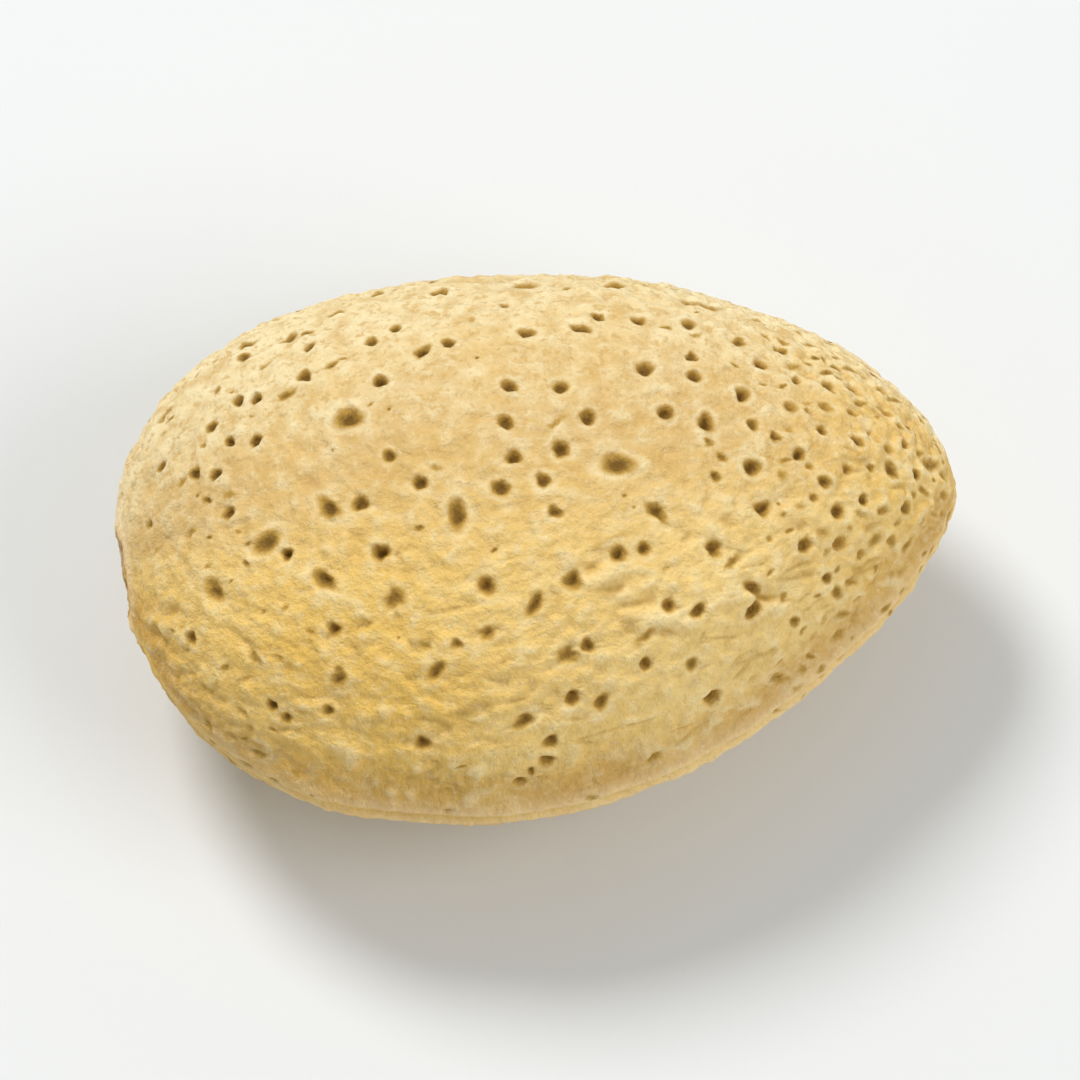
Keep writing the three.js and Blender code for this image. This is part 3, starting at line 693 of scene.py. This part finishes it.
def scarRelief(ground):  # with how far each vertex lies in the dish, and the wave of its fibres
    scar, fibres = nut["scar"], nut["scarFibres"]
    points, share, byScar = ground["points"], ground["fromScar"], ground["byScar"]
    around = np.arctan2(points[:, 2] / scar["halfHeight"], points[:, 1] / scar["halfWidth"])
    waver = fibres["waver"] * noiseOn(points, fibres["waverSize"], shifts["fibres"])
    wave = np.sin(fibres["count"] * around + waver)
    dish = ease(1, scar["floor"], share) * byScar

    lip = scar["lip"] * bump(share - scar["lipAt"], scar["lipSpread"])
    nub = scar["nub"] * bump(share, scar["nubSpread"])
    fibreZone = bump(share - fibres["at"], fibres["spread"]) * ease(0, fibres["from"], share)
    relief = byScar * (lip + nub + fibres["rise"] * wave * fibreZone) - scar["depth"] * dish
    return relief, dish, wave


def peelRelief(ground):  # orange peel and dimples
    points, dimples = ground["points"], nut["dimples"]
    relief = np.zeros(len(points))
    for number, (rise, size) in enumerate(nut["peel"], start=1):
        relief += rise * noiseOn(points, size, shifts["peel"] * number)
    places = points / dimples["apart"] + shifts["dimples"]
    nearest = np.array([noise.voronoi(Vector(place))[0][0] for place in places])
    patches = noiseOn(points, dimples["patches"], shifts["dimplePatches"]) - (dimples["share"] - 0.5)
    chosen = ease(dimples["patchEdge"], -dimples["patchEdge"], patches)
    return relief - dimples["depth"] * ease(dimples["reach"], dimples["floor"], nearest) * chosen


def creaseMarks(ground):
    rule = nut["creases"]
    swell = np.clip(swellOf(ground["along"], nut["outline"]["keel"]), rule["leastSwell"], 1)
    strands = strandsOf(ground, rule["girth"] * np.sqrt(swell), rule)
    line = bump(noiseOn(strands, 1.0, shifts["creases"]), rule["narrow"])
    patches = noiseOn(ground["points"], rule["patches"], shifts["creasePatches"])
    amount = blendOf(*rule["amount"], np.maximum(*zonesOf(ground, rule)))
    return line * ease(*rule["broken"], patches) * amount


def growthLines(ground):  # relief and tone
    rule = nut["growthLines"]
    waver = rule["waver"] * noiseOn(ground["points"], rule["waverSize"], shifts["growthLines"])
    wave = np.sin(2 * pi * ((1 + ground["side"]) * rule["girth"] + waver) / rule["apart"])
    zone = np.multiply(*zonesOf(ground, rule))
    return rule["rise"] * wave * zone, rule["tone"] * zone * ease(*rule["toneWave"], wave)


def keelFootLine(ground):  # relief and tone
    rule = nut["keelFoot"]
    line = bump(np.abs(ground["height"]) - rule["at"], rule["spread"]) * ground["ends"] * ~ground["onBack"]
    patches = noiseOn(ground["points"], rule["patches"], shifts["keelFoot"])
    line *= ease(*rule["broken"], patches)
    return -rule["depth"] * line, rule["tone"] * line * ease(*rule["along"], ground["along"])


def tipWrinkles(ground):  # relief, and the flow that the finish's streaks follow
    rule = nut["wrinkles"]
    flow = strandsOf(ground, rule["girth"], rule)
    zone = ease(*rule["along"], ground["along"]) * ease(*rule["fromTip"], ground["along"])
    return rule["rise"] * (noiseOn(flow, 1.0, shifts["wrinkles"]) - rule["low"]) * zone, flow


def strokeMarks(ground, places, strengths, spread, cutOff):  # soft marks along rows of places
    marks = np.zeros(len(ground["points"]))
    for place, strength in zip(places, strengths):
        for point, index, distance in ground["tree"].find_range(place, cutOff):
            marks[index] = max(marks[index], strength * math.exp(-(distance / spread) ** 2))
    return marks


def furrowMarks(ground):
    width, spread, cutOff = [nut["furrow"][name] for name in ("width", "spread", "cutOff")]
    return strokeMarks(ground, furrowPoints, furrowDepths, spread * width, cutOff * width)


def lineMarks(ground, lines, width):  # how far each vertex lies on a listed line, 0 to 1
    rule = nut["lineDrawing"]
    places = np.concatenate([smoothShell(*courseOf(line, rule["steps"])) for line in lines])
    tapers = np.sin(pi * np.linspace(0, 1, rule["steps"])) ** rule["taper"]
    return strokeMarks(ground, places, np.tile(tapers, len(lines)), width, rule["cutOff"] * width)


def pitMarks(ground):  # depth, brown that is partly painted shade in the hole, and pale halo
    rule = nut["pitProfile"]
    sunk, dark, halo = np.zeros((3, len(ground["points"])))
    for pit in pits + specks:
        reach = rule["cutOff"] * pit["radius"] * pit["stretch"]
        found = ground["tree"].find_range(pit["point"], reach)
        near = np.array([index for point, index, distance in found])
        if not len(near):
            continue
        out = rimShare(pit, ground["points"][near])
        sunk[near] = np.maximum(sunk[near], pit["depth"] * ease(*rule["wall"], out))
        dark[near] = np.maximum(dark[near], pit["dark"] * ease(*pit["fade"], out))
        halo[near] = np.maximum(halo[near], pit["dark"] * bump(out - rule["haloAt"], rule["haloSpread"]))
    return sunk, dark, halo


def crestMarks(ground, groove):
    rule, height = nut["crest"], ground["height"]
    keel = bump(height, rule["keelSpread"]) - rule["groove"] * groove
    back = rule["back"] * bump(height, rule["backSpread"])
    seams = np.where(ground["onBack"], back, keel) * ground["ends"]
    lip = rule["lip"] * ground["byScar"] * bump(ground["fromScar"] - rule["lipAt"], rule["lipSpread"])
    return np.clip(np.maximum(seams, lip), 0, 1)


def stainMarks(ground, fibreWave, furrowed, groove):
    rule, share = nut["stain"], ground["fromScar"]
    fibres = rule["plain"] + rule["fibres"] * fibreWave
    nub = 1 - rule["nubPaling"] * bump(share, rule["nubSpread"])
    scar = ground["byScar"] * ease(*rule["edge"], share) * fibres * nub
    furrows = rule["furrow"] * furrowed / nut["furrow"]["depth"]["lower"]
    return np.maximum(np.maximum(scar, furrows), rule["groove"] * groove)


def keelBrownShadeBandMarks(ground):
    rule, height = nut["keelBrownShadeBand"], np.abs(ground["height"])
    band = ease(*rule["height"], height) * ease(*rule["crest"], height)
    return band * ease(*rule["side"], ground["side"])


def reliefOf(polar, turn):  # where each vertex ends up, and the values that the shell's finish reads
    ground = groundOf(polar, turn)
    seams, groove = seamRelief(ground)
    scar, dish, fibreWave = scarRelief(ground)
    calm = 1 - nut["seamCalm"]["share"] * bump(ground["height"], nut["seamCalm"]["spread"])
    creased = creaseMarks(ground) * (1 - dish) * calm
    skin = peelRelief(ground) * (1 - dish) * calm - nut["creases"]["depth"] * creased
    broad = nut["broad"]["rise"] * noiseOn(ground["points"], nut["broad"]["size"], shifts["broad"])
    wrinkles, flow = tipWrinkles(ground)
    furrowed = furrowMarks(ground)
    sunk, dark, halo = pitMarks(ground)
    relief = swellRelief(ground) + seams + scar + skin + broad + wrinkles * calm - furrowed - sunk

    # the tones of these lines and of the listed creases darken their grooves: painted shade
    for lineRelief, tone in (growthLines(ground), keelFootLine(ground)):
        relief += lineRelief
        creased = np.maximum(creased, tone)
    for kind, lines in creaseLines.items():
        depth, width, tone, brown = nut["lines"][kind]
        marks = lineMarks(ground, lines, width)
        relief -= depth * marks
        creased = np.maximum(creased, tone * marks)
        dark = np.maximum(dark, brown * marks)
    ridges = nut["ridges"]
    marks = lineMarks(ground, ridgeLines, ridges["width"])
    relief += ridges["rise"] * marks
    # painted highlight: the ridges' tone raises skin, which the finish paints pale
    skin = np.maximum(skin, ridges["tone"] * marks)

    moved = ground["points"] + ground["normals"] * relief[:, None]
    moved[:, 2] = np.maximum(moved[:, 2], restHeight)
    fields = {
        "lengthShare": ground["along"],
        "sideShare": ground["side"],
        "skin": skin,
        "creased": creased,
        "pitDark": dark,
        "pitHalo": halo * (1 - dark),
        "crest": crestMarks(ground, groove),
        "stain": stainMarks(ground, fibreWave, furrowed, groove),
        "keelBrownShadeBand": keelBrownShadeBandMarks(ground) * (1 - dish),
    }
    return moved, fields, flow


def makeAlmond():
    polar, turn, faces = joinSites(*gatherSites())
    print("sites joined:", len(polar), "vertices,", len(faces), "faces")
    points, fields, flow = reliefOf(polar, turn)
    ownLow, ownHigh = points.min(axis=0), points.max(axis=0)
    points[:, :2] -= (ownLow + ownHigh)[:2] / 2
    points[:, 2] -= ownLow[2]
    points *= mm
    points += np.array([(nutLow[0] + nutHigh[0]) / 2, (nutLow[1] + nutHigh[1]) / 2, nutLow[2]])

    mesh = bpy.data.meshes.new("almond_shell")
    mesh.from_pydata(points.tolist(), [], faces)
    mesh.update()
    for name, values in fields.items():
        layer = mesh.attributes.new(name, "FLOAT", "POINT")
        layer.data.foreach_set("value", values.astype(np.float32))
    layer = mesh.attributes.new("flow", "FLOAT_VECTOR", "POINT")
    layer.data.foreach_set("vector", flow.astype(np.float32).ravel())
    mesh.shade_smooth()
    piece = bpy.data.objects.new("almond_shell", mesh)
    bpy.context.collection.objects.link(piece)
    return piece


# Finish: dry, pale shell with brown pits
shellFinish = {
    # sRGB, from 0 to 255
    "colours": {
        # painted light: the keel side's wheat is painted lighter, to lift the side that the lamps light less
        "keelWheatPaintedLight": (250, 215, 136),
        "wheat": (222, 185, 118),
        "cream": (243, 219, 166),
        "tan": (232, 194, 118),
        "honey": (240, 195, 94),
        "straw": (238, 197, 107),
        "pale": (255, 240, 194),
        # painted shade in the low parts of the skin's relief
        "hollowShade": (208, 166, 88),
        # colour of the fibres, also used as painted shade in the finest relief's hollows
        "fibreAndShade": (212, 170, 94),
        "pitEdge": (192, 151, 67),
        # brown of the pit floors, darkened as painted shade so that the holes read deeper
        "pitFloor": (128, 94, 31),
        "scarBrown": (164, 118, 62),
        # browner shell by the keel, partly painted shade
        "keelBrownAndShade": (190, 138, 56),
        # pale of the crests: wear, and a painted highlight along the seams
        "rim": (252, 222, 178),
    },
    # noises: scale (higher is finer), detail and roughness
    "clouds": {
        "patch": (0.2, 3, 0.55),
        "mottle": (0.28, 4, 0.55),
        "streak": (1.1, 5, 0.65),
        "dapple": (1.3, 3, 0.5),
        "rough": (2.6, 6, 0.6),
        "grain": (4.5, 5, 0.7),
    },
    # where each mark begins and where it is full, then its strength at both, if not 0 and 1
    "fades": {
        "wheatSide": (-0.55, 0.05),
        "creamSide": (-0.15, 0.75),
        "tanMottle": (0.4, 0.75, 0, 0.6),
        "honeyAlong": (0.75, 0.25),
        "honeySide": (0.1, -0.75),
        "honeyPatch": (0.25, 0.7, 0.45, 1),
        "paleAlong": (0.5, 0.2, 0, 0.4),
        "paleSide": (0.1, 0.7),
        "paleFromStem": (0.02, 0.2, 0.3, 1),
        "strawAlong": (0.72, 0.95, 0, 0.75),
        # painted light: pale along the back edge towards the tip, which faces away from the key lamp
        "farRimLightAlong": (0.45, 0.7, 0, 0.6),
        "farRimLightSide": (0.6, 0.9),
        "keelMottle": (0.3, 0.7, 0.35, 0.6),
        # painted shade in the skin's low parts and painted highlight on its raised parts
        "lowSkinShade": (-0.01, -0.1, 0, 0.45),
        "highSkinHighlight": (0.0, 0.1, 0, 0.35),
        "crease": (0.3, 1.4, 0, 0.9),
        "streak": (0.55, 0.78, 0, 0.5),
        "dappleSide": (-0.5, 0.3, 0.4, 1),
        "brownDapple": (0.48, 0.75, 0, 0.66),
        "paleDapple": (0.52, 0.25, 0, 0.62),
        # painted shade where the finest relief is low
        "cavityShade": (0.52, 0.34),
        "cavityShadeSide": (-0.5, 0.3, 0.25, 0.75),
        "brownGrain": (0.52, 0.8, 0, 0.4),
        "paleGrain": (0.48, 0.25, 0, 0.4),
        "haloGrain": (0.3, 0.65, 0.15, 0.5),
        "stainGrain": (0.2, 0.8, 0.5, 1),
        "pitGrain": (0.3, 0.7, 0.8, 1.15),
        "pitEdge": (0.05, 0.5),
        "pitFloor": (0.35, 0.95),
        "roughness": (0.3, 0.7, 0.62, 0.82),
    },
    "crestShare": 0.75,
    "specular": 0.3,
    "bumpStrength": 0.8,
    "bumpDepth": 0.3,  # millimetres
}


def paint(colour):  # sRGB to linear
    values = [part / 255 for part in colour]
    linear = [part / 12.92 if part <= 0.04045 else ((part + 0.055) / 1.055) ** 2.4 for part in values]
    return (*linear, 1.0)


class NodeBench:  # short ways to add nodes and link them
    def __init__(self, tree):
        self.tree = tree

    def add(self, kind, **settings):
        node = self.tree.nodes.new(kind)
        for name, value in settings.items():
            setattr(node, name, value)
        return node

    def feed(self, node, **values):
        for name, value in values.items():
            self.plug(node, name.replace("_", " "), value)

    def plug(self, node, socket, value):
        if isinstance(value, bpy.types.NodeSocket):
            self.tree.links.new(value, node.inputs[socket])
        else:
            node.inputs[socket].default_value = value

    def field(self, name, output="Fac"):
        return self.add("ShaderNodeAttribute", attribute_name=name).outputs[output]

    def cloud(self, vector, name):
        scale, detail, roughness = shellFinish["clouds"][name]
        node = self.add("ShaderNodeTexNoise")
        self.feed(node, Vector=vector, Scale=scale, Detail=detail, Roughness=roughness)
        return node.outputs["Fac"]

    def fade(self, value, name):
        start, end, *strengths = shellFinish["fades"][name]
        low, high = strengths or (0.0, 1.0)
        node = self.add("ShaderNodeMapRange", interpolation_type="SMOOTHSTEP")
        self.feed(node, Value=value, From_Min=start, From_Max=end, To_Min=low, To_Max=high)
        return node.outputs["Result"]

    def times(self, first, *others):
        for other in others:
            node = self.add("ShaderNodeMath", operation="MULTIPLY")
            self.plug(node, 0, first)
            self.plug(node, 1, other)
            first = node.outputs[0]
        return first

    def mix(self, share, first, second):
        node = self.add("ShaderNodeMix", data_type="RGBA")
        factor, colourA, colourB, result = 0, 6, 7, 2  # the node's sockets for colours
        self.plug(node, factor, share)
        self.plug(node, colourA, first)
        self.plug(node, colourB, second)
        return node.outputs[result]


def makeShellFinish():
    material = bpy.data.materials.new("almond_shell_finish")
    material.use_nodes = True
    material.node_tree.nodes.clear()
    bench = NodeBench(material.node_tree)
    cloud, fade, field, times = bench.cloud, bench.fade, bench.field, bench.times

    inMetres = bench.add("ShaderNodeTexCoord").outputs["Object"]
    place = bench.add("ShaderNodeMapping")
    bench.feed(place, Vector=inMetres, Scale=(1 / mm, 1 / mm, 1 / mm))
    inMm = place.outputs["Vector"]
    along, side, skin = field("lengthShare"), field("sideShare"), field("skin")
    mottle, dapple, grain = cloud(inMm, "mottle"), cloud(inMm, "dapple"), cloud(inMm, "grain")
    rough = cloud(inMm, "rough")  # also the height of the finest relief, whose low parts get painted shade
    streak = cloud(field("flow", "Vector"), "streak")
    honeyPatch = fade(cloud(inMm, "patch"), "honeyPatch")
    dappleSide = fade(side, "dappleSide")
    pitDark = times(field("pitDark"), fade(grain, "pitGrain"))

    # coats over the first colour, from the lowest to the top one
    coats = [
        (fade(side, "wheatSide"), "wheat"),
        (fade(side, "creamSide"), "cream"),
        (fade(mottle, "tanMottle"), "tan"),
        (times(fade(along, "honeyAlong"), fade(side, "honeySide"), honeyPatch), "honey"),
        (times(fade(along, "paleAlong"), fade(side, "paleSide"), fade(along, "paleFromStem")), "pale"),
        (fade(along, "strawAlong"), "straw"),
        # painted light on the back edge towards the tip
        (times(fade(along, "farRimLightAlong"), fade(side, "farRimLightSide")), "pale"),
        # browner band beside the keel: partly the shell's colour, partly painted shade on that side
        (times(field("keelBrownShadeBand"), fade(mottle, "keelMottle")), "keelBrownAndShade"),
        # painted shade in the skin's low parts, then painted highlight on its raised parts
        (fade(skin, "lowSkinShade"), "hollowShade"),
        (fade(skin, "highSkinHighlight"), "pale"),
        # painted shade along the creases, growth lines and keel foot line
        (fade(field("creased"), "crease"), "pitEdge"),
        (fade(streak, "streak"), "fibreAndShade"),
        (times(fade(dapple, "brownDapple"), dappleSide), "fibreAndShade"),
        (times(fade(dapple, "paleDapple"), dappleSide), "pale"),
        # painted shade: darker where the finest relief, the bump's height, is low
        (times(fade(rough, "cavityShade"), fade(side, "cavityShadeSide")), "fibreAndShade"),
        (fade(grain, "brownGrain"), "fibreAndShade"),
        (fade(grain, "paleGrain"), "pale"),
        (times(field("pitHalo"), fade(grain, "haloGrain")), "pale"),
        # worn pale crests, partly a painted highlight along the seams
        (times(field("crest"), shellFinish["crestShare"]), "rim"),
        (times(field("stain"), fade(grain, "stainGrain")), "scarBrown"),
        # brown of the pits, partly painted shade in the holes
        (fade(pitDark, "pitEdge"), "pitEdge"),
        (fade(pitDark, "pitFloor"), "pitFloor"),
    ]
    # the first colour is the keel side's lighter wheat, which is painted light
    colour = paint(shellFinish["colours"]["keelWheatPaintedLight"])
    for share, name in coats:
        colour = bench.mix(share, colour, paint(shellFinish["colours"][name]))

    fine = bench.add("ShaderNodeBump")
    bench.feed(fine, Height=rough, Strength=shellFinish["bumpStrength"])
    bench.feed(fine, Distance=shellFinish["bumpDepth"] * mm)
    shader = bench.add("ShaderNodeBsdfPrincipled")
    bench.feed(shader, Base_Color=colour, Roughness=fade(grain, "roughness"), Normal=fine.outputs["Normal"])
    bench.feed(shader, Specular_IOR_Level=shellFinish["specular"])
    bench.feed(bench.add("ShaderNodeOutputMaterial"), Surface=shader.outputs["BSDF"])
    return material


shell = makeAlmond()
shell.data.materials.append(makeShellFinish())
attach(shell, "root")
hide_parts("almond")
print("almond made:", len(shell.data.polygons), "faces")


# Floor, light and camera. Sizes are in metres, and colours are sRGB as for the shell.
stage = {
    "floorSize": 3.0,
    "floorColour": (226, 227, 226),
    "floorRoughness": 0.9,
    "floorSpecular": 0.1,
    "worldColour": (236, 239, 241),
    "worldStrength": 0.48,
}
lights = {
    # azimuth and elevation of where the light stands, as for the camera, then distance, size and watts
    "key": (212, 52, 0.6, 0.22, 2.5),
    "fill": (60, 40, 0.7, 0.5, 2.1),
}
camera = {
    "azimuth": -6.3,
    "elevation": 64,
    "distance": 0.45,
    "sensor": 36,  # millimetres
    "fill": 0.78,  # share of the picture's width that the nut's length takes up
    "clipStart": 0.01,
}


def outFrom(azimuth, elevation):
    turn, rise = math.radians(azimuth), math.radians(elevation)
    return Vector((math.sin(turn) * math.cos(rise), -math.cos(turn) * math.cos(rise), math.sin(rise)))


def lookAt(thing, target, azimuth, elevation, distance):
    thing.location = target + distance * outFrom(azimuth, elevation)
    thing.rotation_euler = outFrom(azimuth, elevation).to_track_quat("Z", "Y").to_euler()


def makeFloorPaint():
    material = bpy.data.materials.new("floor_paint")
    material.use_nodes = True
    shader = material.node_tree.nodes["Principled BSDF"]
    shader.inputs["Base Color"].default_value = paint(stage["floorColour"])
    shader.inputs["Roughness"].default_value = stage["floorRoughness"]
    shader.inputs["Specular IOR Level"].default_value = stage["floorSpecular"]
    return material


def makeFloor():
    half = stage["floorSize"] / 2
    corners = [(-half, -half, 0), (half, -half, 0), (half, half, 0), (-half, half, 0)]
    mesh = bpy.data.meshes.new("floor")
    mesh.from_pydata(corners, [], [(0, 1, 2, 3)])
    mesh.materials.append(makeFloorPaint())
    floor = bpy.data.objects.new("floor", mesh)
    bpy.context.collection.objects.link(floor)


def makeWorld():
    world = bpy.data.worlds.new("studio")
    world.use_nodes = True
    background = world.node_tree.nodes["Background"]
    background.inputs["Color"].default_value = paint(stage["worldColour"])
    background.inputs["Strength"].default_value = stage["worldStrength"]
    bpy.context.scene.world = world


def makeLights(target):
    for name, (azimuth, elevation, distance, size, watts) in lights.items():
        lamp = bpy.data.lights.new(name, "AREA")
        lamp.shape = "DISK"
        lamp.size = size
        lamp.energy = watts
        holder = bpy.data.objects.new(name, lamp)
        bpy.context.collection.objects.link(holder)
        lookAt(holder, target, azimuth, elevation, distance)


def makeCamera(target, span):
    eye = bpy.data.cameras.new("camera")
    eye.sensor_width = camera["sensor"]
    eye.lens = camera["sensor"] * camera["distance"] * camera["fill"] / span
    eye.clip_start = camera["clipStart"]
    holder = bpy.data.objects.new("camera", eye)
    bpy.context.collection.objects.link(holder)
    lookAt(holder, target, camera["azimuth"], camera["elevation"], camera["distance"])
    bpy.context.scene.camera = holder


makeFloor()
makeWorld()
nutMiddle = (Vector(nutLow) + Vector(nutHigh)) / 2
makeLights(nutMiddle)
makeCamera(nutMiddle, nutHigh[0] - nutLow[0])
bpy.context.scene.view_settings.view_transform = "Standard"
print("stage, lights and camera placed")
